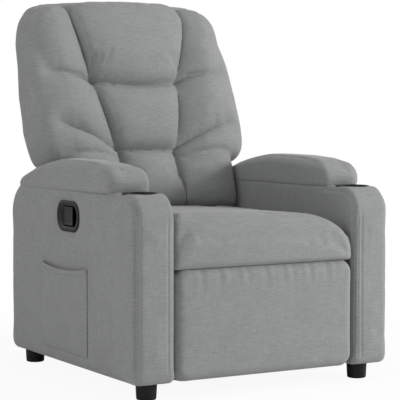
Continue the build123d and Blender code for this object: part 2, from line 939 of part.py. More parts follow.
def chamber(corners, seams, crown):
    low_a, low_b, high_b, high_a = drawn_in(corners)
    side_a, side_b, side_low, side_high = seams
    sections = []
    for share, rise in ((0, 0.1), (0.1, 0.52), (0.3, 0.92), (0.5, 1), (0.7, 0.92), (0.9, 0.52), (1, 0.1)):
        a = (low_a[0] + (high_a[0] - low_a[0]) * share, low_a[1] + (high_a[1] - low_a[1]) * share)
        b = (low_b[0] + (high_b[0] - low_b[0]) * share, low_b[1] + (high_b[1] - low_b[1]) * share)
        end = max(side_low * (1 - 4 * share), side_high * (4 * share - 3), 0)
        edge_a = back_seam - end + side_a * rise
        edge_b = back_seam - end + side_b * rise
        middle = ((a[0] + b[0]) / 2, (a[1] + b[1]) / 2, back_seam - end + (crown - back_seam) * rise)
        face = closed_face(
            [
                Line((*a, back_base), (*b, back_base)),
                Line((*b, back_base), (*b, edge_b)),
                ThreePointArc((*b, edge_b), middle, (*a, edge_a)),
                Line((*a, edge_a), (*a, back_base)),
            ]
        )
        sections.append(face)
    return on_back(loft(sections, ruled=True))


head = chamber(
    [
        (-head_bottom_half, head_bottom),
        (head_bottom_half, head_bottom),
        (head_top_half, head_top),
        (-head_top_half, head_top),
    ],
    (0, 0, 0, head_top_fall),
    head_crown,
)
lumbar = chamber(
    [
        (-lumbar_bottom_half, lumbar_bottom),
        (lumbar_bottom_half, lumbar_bottom),
        (head_bottom_half, head_bottom),
        (-head_bottom_half, head_bottom),
    ],
    (0, 0, 0, 0),
    lumbar_crown,
)
strip = chamber(
    [
        (-strip_bottom_half, back_bottom),
        (strip_bottom_half, back_bottom),
        (lumbar_bottom_half, lumbar_bottom),
        (-lumbar_bottom_half, lumbar_bottom),
    ],
    (0, 0, 0, 0),
    strip_crown,
)
save("headrest_pad", head)
save("lumbar_pad", lumbar)
save("lower_back_pad", strip)

strip_share = (wing_bottom - lumbar_bottom) / (back_bottom - lumbar_bottom)
strip_wing_half = lumbar_bottom_half + (strip_bottom_half - lumbar_bottom_half) * strip_share
upper_wing = chamber(
    [
        (head_bottom_half, head_bottom),
        (back_half, upper_seam_outer),
        (wing_top_half, wing_top_outer),
        (head_top_half, head_top),
    ],
    (0, upper_wing_edge, 0, upper_wing_fall),
    upper_wing_crown,
)
middle_wing = chamber(
    [
        (lumbar_bottom_half, lumbar_bottom),
        (back_half, lower_seam_outer),
        (back_half, upper_seam_outer),
        (head_bottom_half, head_bottom),
    ],
    (0, middle_wing_edge, 0, 0),
    middle_wing_crown,
)
lower_wing = chamber(
    [
        (strip_wing_half, wing_bottom),
        (back_half, wing_bottom),
        (back_half, lower_seam_outer),
        (lumbar_bottom_half, lumbar_bottom),
    ],
    (0, lower_wing_edge, 0, 0),
    lower_wing_crown,
)
low_wing = chamber(
    [
        (strip_bottom_half, back_bottom),
        (back_low_half, back_bottom),
        (back_low_half, wing_bottom),
        (strip_wing_half, wing_bottom),
    ],
    (0, 0, 0, 0),
    low_wing_crown,
)
wings = [upper_wing, middle_wing, lower_wing, low_wing]
save("wing_pads_left", Compound(children=wings))
save("wing_pads_right", Compound(children=[mirrored(w) for w in wings]))

# Rear cover of the back: a padded tray, open in front and below

def cover_profile(inset):
    return make_face(
        Polyline(
            (wing_bottom + cover_lap + inset, back_base),
            (cover_top - inset, back_base),
            (cover_top - cover_lip_t - inset, back_base - cover_lip_n + inset * 0.6),
            (cover_top - cover_brow_t - inset, back_base - cover_brow_n + inset),
            (cover_crest_t, cover_crest_n + inset),
            (cover_upper_t, cover_upper_n + inset),
            (cover_belly_t, cover_belly_n + inset),
            (cover_foot_t + inset, cover_foot_n + inset),
            close=True,
        )
    )


def cover_skirt_profile(inset, low):
    return make_face(
        Polyline(
            (low, back_base),
            (cover_skirt_t, back_base),
            (cover_skirt_t, cover_skirt_n + inset),
            (cover_foot_t, cover_foot_n + inset),
            (low, cover_hem_n + inset),
            close=True,
        )
    )


cover_peak = cover_top + cover_corner_rise
cover_corner_x = back_half - cover_corner_in
cover_corner_t = cover_top - cover_corner_down
cover_front = closed_face(
    [
        Line((-back_half, cover_front_low), (back_half, cover_front_low)),
        Line((back_half, cover_front_low), (back_half, cover_corner_start)),
        ThreePointArc(
            (back_half, cover_corner_start),
            (cover_corner_x, cover_corner_t),
            (cover_corner_half, cover_peak),
        ),
        Line((cover_corner_half, cover_peak), (-cover_corner_half, cover_peak)),
        ThreePointArc(
            (-cover_corner_half, cover_peak),
            (-cover_corner_x, cover_corner_t),
            (-back_half, cover_corner_start),
        ),
        Line((-back_half, cover_corner_start), (-back_half, cover_front_low)),
    ]
)
cover = extrude(Plane.YZ * cover_profile(0), amount=back_half, both=True)
cover &= extrude(Plane.XY.offset(-cover_reach) * cover_front, amount=cover_reach)
cover += extrude(Plane.YZ * cover_skirt_profile(0, back_bottom), amount=back_low_half, both=True)
hollow = extrude(Plane.YZ * cover_profile(cover_wall), amount=cover_corner_half, both=True)
wide_hollow = extrude(Plane.YZ * cover_profile(cover_wall), amount=back_half - cover_wall, both=True)
wide_hollow &= block(-back_half, back_half, cover_front_low, cover_corner_start, -cover_reach, 0)
skirt_hollow = cover_skirt_profile(cover_wall, back_bottom - cover_open_below)
cover -= hollow
cover -= wide_hollow
cover -= extrude(Plane.YZ * skirt_hollow, amount=back_low_half - cover_side_wall, both=True)
save("back_rear_cover", on_back(cover))
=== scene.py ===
import math

import bmesh
import bpy
import numpy as np
from mathutils import Matrix, Vector


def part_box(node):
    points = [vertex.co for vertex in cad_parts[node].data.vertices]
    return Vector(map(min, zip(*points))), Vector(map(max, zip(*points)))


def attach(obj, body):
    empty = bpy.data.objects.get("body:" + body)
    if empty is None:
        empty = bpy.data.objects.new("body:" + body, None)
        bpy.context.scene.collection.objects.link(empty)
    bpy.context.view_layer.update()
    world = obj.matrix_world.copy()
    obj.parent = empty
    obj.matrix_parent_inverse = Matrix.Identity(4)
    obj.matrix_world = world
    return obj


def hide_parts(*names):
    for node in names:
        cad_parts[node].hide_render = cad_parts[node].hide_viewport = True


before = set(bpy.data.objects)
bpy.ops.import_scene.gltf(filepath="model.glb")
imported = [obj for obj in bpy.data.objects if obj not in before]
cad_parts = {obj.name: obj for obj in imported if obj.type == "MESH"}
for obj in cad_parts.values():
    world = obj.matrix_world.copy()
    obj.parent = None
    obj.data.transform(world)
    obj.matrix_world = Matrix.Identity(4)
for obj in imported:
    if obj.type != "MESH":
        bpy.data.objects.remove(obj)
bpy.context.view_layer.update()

# A reclining armchair in grey woven cloth. The chair faces -Y, lengths are metres,
# and left and right are the sitter's, so the arm with the handle is on the -X side.
scene = bpy.context.scene
scene.view_settings.view_transform = "Standard"


# The room: a pale painted floor that runs off into white, a soft lamp low in front of the
# chair on its left, weaker and broader ones above it and on its right, and the camera at the
# photograph's place.
def linear(hex_colour):
    """The linear colour of an sRGB hex value, with full alpha."""
    shares = [int(hex_colour[i : i + 2], 16) / 255 for i in (1, 3, 5)]
    return [s / 12.92 if s <= 0.04045 else ((s + 0.055) / 1.055) ** 2.4 for s in shares] + [1.0]


def add_node(tree, kind, inputs=None, **settings):
    """Adds a node, gives it its settings, and sets or links its inputs."""
    made = tree.nodes.new(kind)
    for name, value in settings.items():
        setattr(made, name, value)
    for socket, value in (inputs or {}).items():
        if isinstance(value, bpy.types.NodeSocket):
            tree.links.new(value, made.inputs[socket])
        else:
            made.inputs[socket].default_value = value
    return made


def new_material(name):
    """An empty node material with its output."""
    material = bpy.data.materials.new(name)
    material.use_nodes = True
    material.node_tree.nodes.clear()
    return material, material.node_tree, add_node(material.node_tree, "ShaderNodeOutputMaterial")


def put_in_scene(name, form):
    """Makes an object at the origin from a bmesh, and frees the bmesh."""
    mesh = bpy.data.meshes.new(name)
    form.to_mesh(mesh)
    form.free()
    made = bpy.data.objects.new(name, mesh)
    scene.collection.objects.link(made)
    return made


def seen_white(tree):
    """One for a ray from the camera, off a gloss or through glass, which then sees plain white."""
    rays = add_node(tree, "ShaderNodeLightPath")
    glossy = add_node(
        tree,
        "ShaderNodeMath",
        {0: rays.outputs["Is Camera Ray"], 1: rays.outputs["Is Glossy Ray"]},
        operation="MAXIMUM",
    )
    through = add_node(
        tree,
        "ShaderNodeMath",
        {0: glossy.outputs[0], 1: rays.outputs["Is Transmission Ray"]},
        operation="MAXIMUM",
    )
    return through.outputs[0]


room_light = 0.29
world = bpy.data.worlds.new("white_studio")
scene.world = world
world.use_nodes = True
world_tree = world.node_tree
world_tree.nodes.clear()
ambient = add_node(
    world_tree, "ShaderNodeBackground", {"Color": linear("#ffffff"), "Strength": room_light}
)
backdrop = add_node(world_tree, "ShaderNodeBackground", {"Color": linear("#ffffff"), "Strength": 1.0})
world_mix = add_node(
    world_tree,
    "ShaderNodeMixShader",
    {0: seen_white(world_tree), 1: ambient.outputs[0], 2: backdrop.outputs[0]},
)
add_node(world_tree, "ShaderNodeOutputWorld", {"Surface": world_mix.outputs[0]})

floor_material, tree, out = new_material("white_painted_floor")
paint = add_node(tree, "ShaderNodeBsdfDiffuse", {"Color": linear("#f4f4f4")})
glow = add_node(tree, "ShaderNodeEmission", {"Color": linear("#ffffff"), "Strength": 1.0})
rays = add_node(tree, "ShaderNodeLightPath")
# Near the chair the floor keeps a pale shadow, and it fades to clear white further off.
place = add_node(tree, "ShaderNodeTexCoord")
away = add_node(tree, "ShaderNodeVectorMath", {0: place.outputs["Object"]}, operation="LENGTH")
fade = add_node(
    tree,
    "ShaderNodeMapRange",
    {"Value": away.outputs["Value"], "From Min": 0.5, "From Max": 1.6, "To Min": 0.93, "To Max": 1.0},
)
lift = add_node(
    tree, "ShaderNodeMath", {0: rays.outputs["Is Camera Ray"], 1: fade.outputs[0]}, operation="MULTIPLY"
)
floor_mix = add_node(
    tree, "ShaderNodeMixShader", {0: lift.outputs[0], 1: paint.outputs[0], 2: glow.outputs[0]}
)
tree.links.new(floor_mix.outputs[0], out.inputs["Surface"])
form = bmesh.new()
bmesh.ops.create_grid(form, x_segments=4, y_segments=4, size=9.0)
floor = put_in_scene("floor", form)
floor.data.materials.append(floor_material)


def soft_lamp(name, place, aim, size, power):
    """A square soft box, pointed at a place."""
    lamp = bpy.data.lights.new(name, "AREA")
    lamp.shape = "SQUARE"
    lamp.size = size
    lamp.energy = power
    made = bpy.data.objects.new(name, lamp)
    made.location = place
    made.rotation_mode = "QUATERNION"
    made.rotation_quaternion = (Vector(aim) - Vector(place)).to_track_quat("-Z", "Y")
    scene.collection.objects.link(made)


chair_middle = (0.0, 0.0, 0.5)
soft_lamp("front_soft_box", (3.1, -2.7, 1.6), chair_middle, size=1.0, power=116)
soft_lamp("top_soft_box", (0.2, -0.4, 3.4), chair_middle, size=2.4, power=18)
soft_lamp("side_soft_box", (-3.4, -0.6, 1.6), chair_middle, size=2.0, power=29)

camera_data = bpy.data.cameras.new("camera")
camera_data.sensor_width = 36.0
camera_data.lens = 148.5
camera_data.shift_x = 0.0222
camera_data.shift_y = -0.07375
camera = bpy.data.objects.new("camera", camera_data)
camera.location = (-2.2982, -4.0638, 0.7947)
camera.rotation_euler = (math.radians(87.1), 0.0, math.radians(-29.8))
scene.collection.objects.link(camera)
scene.camera = camera


# The wooden frame: planed softwood rails and plywood, glued and bolted, inside the arms,
# under the seat and behind the back pads. Little of it shows except from below.
pine, tree, out = new_material("planed_pine")
place = add_node(tree, "ShaderNodeTexCoord")
# Annual rings about 4 mm apart, drawn out along the rail, with finer pores across them.
along = add_node(
    tree, "ShaderNodeMapping", {"Vector": place.outputs["Object"], "Scale": (40.0, 40.0, 240.0)}
)
rings = add_node(
    tree,
    "ShaderNodeTexNoise",
    {"Vector": along.outputs[0], "Scale": 1.0, "Detail": 4.0, "Distortion": 0.6},
)
grain = add_node(tree, "ShaderNodeValToRGB", {"Fac": rings.outputs["Fac"]})
grain.color_ramp.elements[0].position = 0.35
grain.color_ramp.elements[0].color = linear("#b98a55")
grain.color_ramp.elements[1].position = 0.68
grain.color_ramp.elements[1].color = linear("#d9b483")
pores = add_node(
    tree, "ShaderNodeBump", {"Height": rings.outputs["Fac"], "Strength": 0.25, "Distance": 0.0004}
)
wood = add_node(
    tree,
    "ShaderNodeBsdfPrincipled",
    {"Base Color": grain.outputs["Color"], "Normal": pores.outputs[0], "Roughness": 0.62, "IOR": 1.5},
)
tree.links.new(wood.outputs[0], out.inputs["Surface"])


def dress_nodes(material, *names):
    """Gives CAD nodes that stay in view their finish."""
    for name in names:
        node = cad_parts[name]
        if not node.material_slots:
            node.data.materials.append(material)
        for slot in node.material_slots:
            slot.material = material


dress_nodes(pine, "arm_frame_left", "arm_frame_right", "mid_cross_rail", "rear_cross_rail")
dress_nodes(pine, "seat_side_rail_left", "seat_side_rail_right", "seat_front_rail", "seat_rear_rail")
dress_nodes(pine, "back_side_rail_left", "back_side_rail_right", "back_top_rail", "back_bottom_rail")
dress_nodes(pine, "footrest_board")


# The reclining mechanism: pressed steel plates and links, dipped in black paint, that carry
# the seat on two pairs of swing links and fold the footrest out on a lazy-tongs pair.
link_paint, tree, out = new_material("dipped_black_steel_paint")
place = add_node(tree, "ShaderNodeTexCoord")
# Dip paint flows to a faint orange peel with cells of about 2 mm.
peel = add_node(
    tree, "ShaderNodeTexNoise", {"Vector": place.outputs["Object"], "Scale": 450.0, "Detail": 2.0}
)
peel_tone = add_node(tree, "ShaderNodeValToRGB", {"Fac": peel.outputs["Fac"]})
peel_tone.color_ramp.elements[0].color = linear("#1e1f20")
peel_tone.color_ramp.elements[1].color = linear("#2b2c2e")
peel_bump = add_node(
    tree, "ShaderNodeBump", {"Height": peel.outputs["Fac"], "Strength": 0.15, "Distance": 0.0002}
)
paint = add_node(
    tree,
    "ShaderNodeBsdfPrincipled",
    {
        "Base Color": peel_tone.outputs["Color"],
        "Normal": peel_bump.outputs[0],
        "Roughness": 0.38,
        "IOR": 1.52,
    },
)
tree.links.new(paint.outputs[0], out.inputs["Surface"])
dress_nodes(link_paint, "base_rail_left", "base_rail_right", "front_swing_links", "rear_swing_links")
dress_nodes(link_paint, "seat_plate_left", "seat_plate_right", "drive_tube")
dress_nodes(link_paint, "back_bracket_left", "back_bracket_right")
dress_nodes(link_paint, "footrest_main_link_left", "footrest_main_link_right", "footrest_guide_links")
dress_nodes(link_paint, "footrest_long_link_left", "footrest_long_link_right", "footrest_tie_links")
dress_nodes(link_paint, "footrest_bracket_left", "footrest_bracket_right")


# Rivets, bolts, screws and the seat springs: zinc-plated steel, drawn or headed cold,
# pressed through the links and driven into the timber.
zinc, tree, out = new_material("zinc_plated_steel")
place = add_node(tree, "ShaderNodeTexCoord")
# Zinc spangle about 3 mm across, which changes the gloss more than the colour.
spangle = add_node(tree, "ShaderNodeTexVoronoi", {"Vector": place.outputs["Object"], "Scale": 330.0})
dull = add_node(
    tree, "ShaderNodeMapRange", {"Value": spangle.outputs["Distance"], "To Min": 0.26, "To Max": 0.44}
)
plated = add_node(
    tree,
    "ShaderNodeBsdfPrincipled",
    {"Base Color": linear("#b9bcbf"), "Metallic": 1.0, "Roughness": dull.outputs[0]},
)
tree.links.new(plated.outputs[0], out.inputs["Surface"])
dress_nodes(zinc, "frame_bolts", "foot_screws", "base_pivot_pins", "seat_pivot_pins", "main_link_pins")
dress_nodes(zinc, "long_link_pins", "footrest_pins", "handle_pin", "seat_springs")


# Elastic webbing across the back frame: black woven polypropylene with rubber warps,
# stapled to the rails and hidden by the back pads.
webbing, tree, out = new_material("woven_elastic_webbing")
place = add_node(tree, "ShaderNodeTexCoord")
# Ribs across the band about 2.5 mm apart.
ribs = add_node(
    tree, "ShaderNodeTexWave", {"Vector": place.outputs["Object"], "Scale": 125.0, "Distortion": 0.3}
)
rib_tone = add_node(tree, "ShaderNodeValToRGB", {"Fac": ribs.outputs["Fac"]})
rib_tone.color_ramp.elements[0].color = linear("#1b1b1c")
rib_tone.color_ramp.elements[1].color = linear("#39393a")
rib_bump = add_node(
    tree, "ShaderNodeBump", {"Height": ribs.outputs["Fac"], "Strength": 0.6, "Distance": 0.0006}
)
band = add_node(
    tree,
    "ShaderNodeBsdfPrincipled",
    {
        "Base Color": rib_tone.outputs["Color"],
        "Normal": rib_bump.outputs[0],
        "Roughness": 0.85,
        "IOR": 1.49,
    },
)
tree.links.new(band.outputs[0], out.inputs["Surface"])
dress_nodes(webbing, "back_webbing")


# Four feet: round black moulded plastic, drawn in a little to the floor, with a thin collar
# at the top and a soft bottom edge. One screw up the middle of each holds it to its arm.
moulded, tree, out = new_material("moulded_black_abs")
place = add_node(tree, "ShaderNodeTexCoord")
# Spark-eroded mould grain about 1 mm across, drawn at 2 mm so that it shows.
grit = add_node(
    tree, "ShaderNodeTexNoise", {"Vector": place.outputs["Object"], "Scale": 500.0, "Detail": 3.0}
)
grit_tone = add_node(tree, "ShaderNodeValToRGB", {"Fac": grit.outputs["Fac"]})
grit_tone.color_ramp.elements[0].color = linear("#0e0f0f")
grit_tone.color_ramp.elements[1].color = linear("#1a1b1b")
grit_bump = add_node(
    tree, "ShaderNodeBump", {"Height": grit.outputs["Fac"], "Strength": 0.22, "Distance": 0.0003}
)
plastic = add_node(
    tree,
    "ShaderNodeBsdfPrincipled",
    {
        "Base Color": grit_tone.outputs["Color"],
        "Normal": grit_bump.outputs[0],
        "Roughness": 0.46,
        "IOR": 1.54,
        "Specular IOR Level": 0.22,
    },
)
tree.links.new(plastic.outputs[0], out.inputs["Surface"])


def turned(form, profile, centre, steps=48):
    """Spins a profile of (radius, height) points round an upright axis in the bmesh."""
    made = [form.verts.new((centre[0] + r, centre[1], z)) for r, z in profile]
    edges = [form.edges.new(pair) for pair in zip(made, made[1:])]
    bmesh.ops.spin(
        form,
        geom=made + edges,
        cent=(centre[0], centre[1], 0.0),
        axis=(0.0, 0.0, 1.0),
        angle=math.tau,
        steps=steps,
        use_merge=True,
    )


def closed_up(form):
    """Joins doubled points and turns the faces outwards."""
    bmesh.ops.remove_doubles(form, verts=form.verts, dist=1e-6)
    bmesh.ops.recalc_face_normals(form, faces=form.faces)


def smooth_faces(piece, angle=35):
    """Smooth shading that breaks at real edges."""
    for face in piece.data.polygons:
        face.use_smooth = True
    form = bmesh.new()
    form.from_mesh(piece.data)
    for edge in form.edges:
        edge.smooth = len(edge.link_faces) == 2 and edge.calc_face_angle(0) < math.radians(angle)
    form.to_mesh(piece.data)
    form.free()


# A foot's radius at the top and just above the floor.
foot_top = 0.029
foot_low = 0.026
for pair in ("front", "rear"):
    low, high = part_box(pair + "_feet")
    middle_y = (low.y + high.y) / 2
    form = bmesh.new()
    for x in (low.x + foot_top, high.x - foot_top):
        turned(
            form,
            [
                (0.0, 0.0),
                (foot_low - 0.005, 0.0),
                (foot_low - 0.0022, 0.0008),
                (foot_low - 0.0006, 0.0026),
                (foot_low, 0.0055),
                (foot_top - 0.0012, high.z - 0.005),
                (foot_top - 0.0004, high.z - 0.0044),
                (foot_top, high.z - 0.0036),
                (foot_top, high.z),
                (0.0, high.z),
            ],
            (x, middle_y),
        )
    closed_up(form)
    feet = put_in_scene(pair + "_moulded_feet", form)
    feet.data.materials.append(moulded)
    smooth_faces(feet)
    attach(feet, "base")
    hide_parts(pair + "_feet")


# The arms: a timber box wrapped in thin foam and cloth. The sides are flat panels, and one
# strip runs up the front and back along the top, sewn to them with a double row of stitches.
cloth, tree, out = new_material("grey_melange_linen_weave")
place = add_node(tree, "ShaderNodeTexCoord")
# A plain weave of thick and thin yarns, spun from light and dark grey fibre. The yarns are
# about 1 mm apart and drawn at 1.8 mm so that they show, with slubs about 25 mm long.
across = add_node(
    tree, "ShaderNodeMapping", {"Vector": place.outputs["Object"], "Scale": (40.0, 40.0, 560.0)}
)
upright = add_node(
    tree, "ShaderNodeMapping", {"Vector": place.outputs["Object"], "Scale": (560.0, 560.0, 40.0)}
)
weft = add_node(
    tree,
    "ShaderNodeTexNoise",
    {"Vector": across.outputs[0], "Scale": 1.0, "Detail": 3.0, "Roughness": 0.6},
)
warp = add_node(
    tree,
    "ShaderNodeTexNoise",
    {"Vector": upright.outputs[0], "Scale": 1.0, "Detail": 3.0, "Roughness": 0.6},
)
yarns = add_node(
    tree, "ShaderNodeMix", {0: 0.42, 2: weft.outputs["Fac"], 3: warp.outputs["Fac"]}, data_type="FLOAT"
)
fibre = add_node(tree, "ShaderNodeValToRGB", {"Fac": yarns.outputs[0]})
fibre.color_ramp.elements[0].position = 0.30
fibre.color_ramp.elements[0].color = linear("#868887")
fibre.color_ramp.elements[1].position = 0.70
fibre.color_ramp.elements[1].color = linear("#a1a3a2")
# Patches of darker and lighter yarn about 60 mm across, barely seen.
patches = add_node(
    tree, "ShaderNodeTexNoise", {"Vector": place.outputs["Object"], "Scale": 16.0, "Detail": 2.0}
)
patch_tone = add_node(
    tree, "ShaderNodeMapRange", {"Value": patches.outputs["Fac"], "To Min": 0.92, "To Max": 1.07}
)
dyed = add_node(
    tree,
    "ShaderNodeMix",
    {0: 1.0, 6: fibre.outputs["Color"], 7: patch_tone.outputs[0]},
    data_type="RGBA",
    blend_type="MULTIPLY",
)
threads = add_node(
    tree, "ShaderNodeBump", {"Height": yarns.outputs[0], "Strength": 0.5, "Distance": 0.0010}
)
woven = add_node(
    tree,
    "ShaderNodeBsdfPrincipled",
    {
        "Base Color": dyed.outputs[2],
        "Normal": threads.outputs[0],
        "Roughness": 0.88,
        "IOR": 1.46,
        "Specular IOR Level": 0.25,
        "Sheen Weight": 0.18,
        "Sheen Roughness": 0.5,
    },
)
tree.links.new(woven.outputs[0], out.inputs["Surface"])


def settle(piece):
    """Takes what the modifiers make as the piece's own mesh."""
    mesh = bpy.data.meshes.new_from_object(piece.evaluated_get(bpy.context.evaluated_depsgraph_get()))
    old = piece.data
    piece.modifiers.clear()
    piece.data = mesh
    mesh.name = piece.name
    bpy.data.meshes.remove(old)


def points_of(piece):
    """The piece's points, and which way the surface faces at each."""
    count = len(piece.data.vertices)
    points = np.empty(count * 3)
    facing = np.empty(count * 3)
    piece.data.vertices.foreach_get("co", points)
    piece.data.vertex_normals.foreach_get("vector", facing)
    return points.reshape(-1, 3), facing.reshape(-1, 3)


def move_points(piece, points):
    """Puts the piece's points where they are now."""
    piece.data.vertices.foreach_set("co", points.ravel())
    piece.data.update()


def evened(piece, voxel, rounds):
    """Turns a rough form into one skin of even squares with its edges eased."""
    skin = piece.modifiers.new("skin", "REMESH")
    skin.mode = "VOXEL"
    skin.voxel_size = voxel
    settle(piece)
    ease = piece.modifiers.new("ease", "SMOOTH")
    ease.factor = 0.5
    ease.iterations = rounds
    settle(piece)


def grown(piece, by):
    """Lets the skin out evenly, by what easing its edges took away."""
    points, facing = points_of(piece)
    move_points(piece, points + facing * by)


def blown(piece, cap, held=None):
    """Fills the cloth skin: simulated under pressure with no gravity, each point moved at most the cap.
    Points that held says are sewn or rest on something stay put."""
    start, facing = points_of(piece)
    cloth_sim = piece.modifiers.new("filling", "CLOTH")
    settings = cloth_sim.settings
    settings.quality = 4
    settings.mass = 0.3
    settings.tension_stiffness = 15.0
    settings.compression_stiffness = 15.0
    settings.shear_stiffness = 5.0
    settings.bending_stiffness = 0.5
    settings.use_pressure = True
    settings.uniform_pressure_force = 4.0
    settings.effector_weights.gravity = 0.0
    if held is not None:
        group = piece.vertex_groups.new(name="sewn")
        group.add([int(i) for i in np.nonzero(held(start, facing))[0]], 1.0, "REPLACE")
        settings.vertex_group_mass = "sewn"
    cloth_sim.point_cache.frame_start = 1
    cloth_sim.point_cache.frame_end = 20
    for step in range(1, 21):
        scene.frame_set(step)
    settle(piece)
    scene.frame_set(1)
    piece.vertex_groups.clear()
    moved = points_of(piece)[0] - start
    reach = np.linalg.norm(moved, axis=1, keepdims=True)
    move_points(piece, start + moved * np.minimum(1.0, cap / np.maximum(reach, 1e-9)))


def kept_inside(piece, low, high):
    """Presses the skin flat where it meets what stands beside it."""
    move_points(piece, np.clip(points_of(piece)[0], low, high))


def finer(piece):
    """One subdivision of the skin, so that seams have squares enough to lie in."""
    split = piece.modifiers.new("finer", "SUBSURF")
    split.levels = 1
    split.render_levels = 1
    settle(piece)


def sewn(piece, path, side, depth, width, gather=0.0, pitch=0.03, spread=0.02):
    """Draws a row of stitches into the panel that faces one side, +/-1 to 3 for an axis, along a path
    of points on that panel, with small gathers beside it."""
    points, facing = points_of(piece)
    axis = abs(side) - 1
    flat = np.delete(points, axis, axis=1)
    near = np.full(len(points), 1e9)
    length = np.zeros(len(points))
    run = 0.0
    for a, b in zip(path, path[1:]):
        a, b = np.array(a), np.array(b)
        step = np.linalg.norm(b - a)
        share = np.clip(((flat - a) @ (b - a)) / step**2, 0.0, 1.0)
        gap = np.linalg.norm(flat - (a + share[:, None] * (b - a)), axis=1)
        closer = gap < near
        near[closer] = gap[closer]
        length[closer] = run + share[closer] * step
        run += step
    firm = np.clip(np.minimum(length, run - length) / 0.03, 0.0, 1.0)
    firm *= np.clip((facing[:, axis] * math.copysign(1, side) - 0.25) / 0.25, 0.0, 1.0)
    wave = np.sin(length / pitch * math.tau) + 0.8 * np.sin(length / pitch * 1.71 * math.tau + 1.0)
    drop = depth * np.exp(-((near / width) ** 2)) + gather * wave * np.exp(-((near / spread) ** 2))
    move_points(piece, points - facing * (drop * firm)[:, None])


def upholstered(piece, body, *nodes, fill=0.8):
    """Cloth, smooth shading and the calls that every padded piece of the chair shares."""
    piece.data.materials.clear()
    piece.data.materials.append(cloth)
    for face in piece.data.polygons:
        face.use_smooth = True
    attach(piece, body)
    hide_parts(*nodes)


def pulled_out(form, faces, by):
    """Extrudes some faces of the bmesh and moves the new ones."""
    pulled = bmesh.ops.extrude_face_region(form, geom=faces)["geom"]
    bmesh.ops.translate(form, vec=by, verts=[v for v in pulled if isinstance(v, bmesh.types.BMVert)])


def eased(form, geom, radius, segments, affect="EDGES"):
    """Rounds off some edges of the bmesh, or the corners at some points."""
    bmesh.ops.bevel(
        form,
        geom=geom,
        offset=radius,
        offset_type="OFFSET",
        segments=segments,
        profile=0.5,
        affect=affect,
        material=-1,
    )


def faded(values, start, end):
    """Runs from 0 at start to 1 at end, and stays there past them."""
    return np.clip((values - start) / (end - start), 0.0, 1.0)


arm_inner = 0.274
arm_outer = 0.385
arm_front = -0.455
arm_rear = 0.319
arm_bottom = 0.045
arm_top = 0.522
arm_slack = 0.003
# How far the cloth may swell past the flat outer side of the CAD arm.
arm_bulge = 0.007
# The radius of the arm's upper front corner.
nose = 0.060
cup_x = 0.3295
cup_y = -0.364
corners = [
    (arm_front + arm_slack, arm_bottom, 0.024),
    (arm_rear - arm_slack, arm_bottom, 0.024),
    (arm_rear - arm_slack, arm_top, 0.086),
    (arm_front + arm_slack, arm_top, nose),
]
form = bmesh.new()
outline = [form.verts.new((arm_inner + 0.001, y, z)) for y, z, radius in corners]
form.faces.new(outline)
for point, (y, z, radius) in zip(outline, corners):
    eased(form, [point], radius, segments=8, affect="VERTICES")
pulled_out(form, form.faces[:], (arm_outer - arm_slack - arm_inner - 0.001, 0.0, 0.0))
closed_up(form)
rims = [e for e in form.edges if e.calc_face_angle(0) > math.radians(80)]
eased(form, rims, radius=0.014, segments=4)
arm_left = put_in_scene("arm_left", form)
evened(arm_left, voxel=0.006, rounds=3)
grown(arm_left, by=0.008)
blown(arm_left, cap=0.004)
kept_inside(
    arm_left,
    (arm_inner, arm_front - 0.006, arm_bottom),
    (arm_outer + arm_bulge, arm_rear + 0.004, arm_top + 0.002),
)
# Under the pad the sides run straight up to it, so the top edges are square there.
points = points_of(arm_left)[0]
arm_middle = (arm_inner + arm_outer + arm_bulge) / 2
arm_half = (arm_outer + arm_bulge - arm_inner) / 2
under_pad = faded(points[:, 1], -0.325, -0.295) * faded(points[:, 1], 0.27, 0.23)
high_up = faded(points[:, 2], 0.480, 0.500)
outside = faded(np.abs(points[:, 0] - arm_middle), 0.030, 0.042)
square = under_pad * high_up * outside
edge = arm_middle + np.sign(points[:, 0] - arm_middle) * arm_half
points[:, 0] += (edge - points[:, 0]) * square
move_points(arm_left, points)
finer(arm_left)
# The stitched edge runs up the front, over the nose and back along the top of each side.
for inset in (0.010, 0.017):
    bend = nose + 0.006 - inset
    middle_y = arm_front + nose
    middle_z = arm_top - nose
    edge_line = [(middle_y - bend, arm_bottom + 0.01)]
    for degrees in range(0, 91, 15):
        turn = math.radians(degrees)
        edge_line.append((middle_y - bend * math.cos(turn), middle_z + bend * math.sin(turn)))
    edge_line.append((-0.29, middle_z + bend))
    for side_sign in (1, -1):
        sewn(arm_left, edge_line, side_sign, depth=0.0042, width=0.0036)
# Behind the cup a seam takes in the pad's foot, and three run up the arm's front.
for side_sign in (1, -1):
    sewn(arm_left, [(-0.316, 0.5215), (0.215, 0.5215)], side_sign, depth=0.0045, width=0.0045)
for x in (arm_inner + 0.012, arm_inner + 0.023, arm_outer - 0.004):
    sewn(arm_left, [(x, arm_bottom + 0.01), (x, 0.47)], side=-2, depth=0.0030, width=0.0036)


def mirrored(name, piece):
    """The same piece for the other side of the chair."""
    form = bmesh.new()
    form.from_mesh(piece.data)
    bmesh.ops.scale(form, vec=(-1.0, 1.0, 1.0), verts=form.verts)
    bmesh.ops.reverse_faces(form, faces=form.faces)
    return put_in_scene(name, form)


def opened(piece, inside, turn_in):
    """Cuts away the cloth that inside picks by the middles of its squares, and turns the edge in."""
    form = bmesh.new()
    form.from_mesh(piece.data)
    cut = [f for f in form.faces if inside(f.calc_center_median())]
    bmesh.ops.delete(form, geom=cut, context="FACES")
    rim = [e for e in form.edges if e.is_boundary]
    hem = bmesh.ops.extrude_edge_only(form, edges=rim)["geom"]
    bmesh.ops.translate(form, vec=turn_in, verts=[v for v in hem if isinstance(v, bmesh.types.BMVert)])
    form.to_mesh(piece.data)
    form.free()


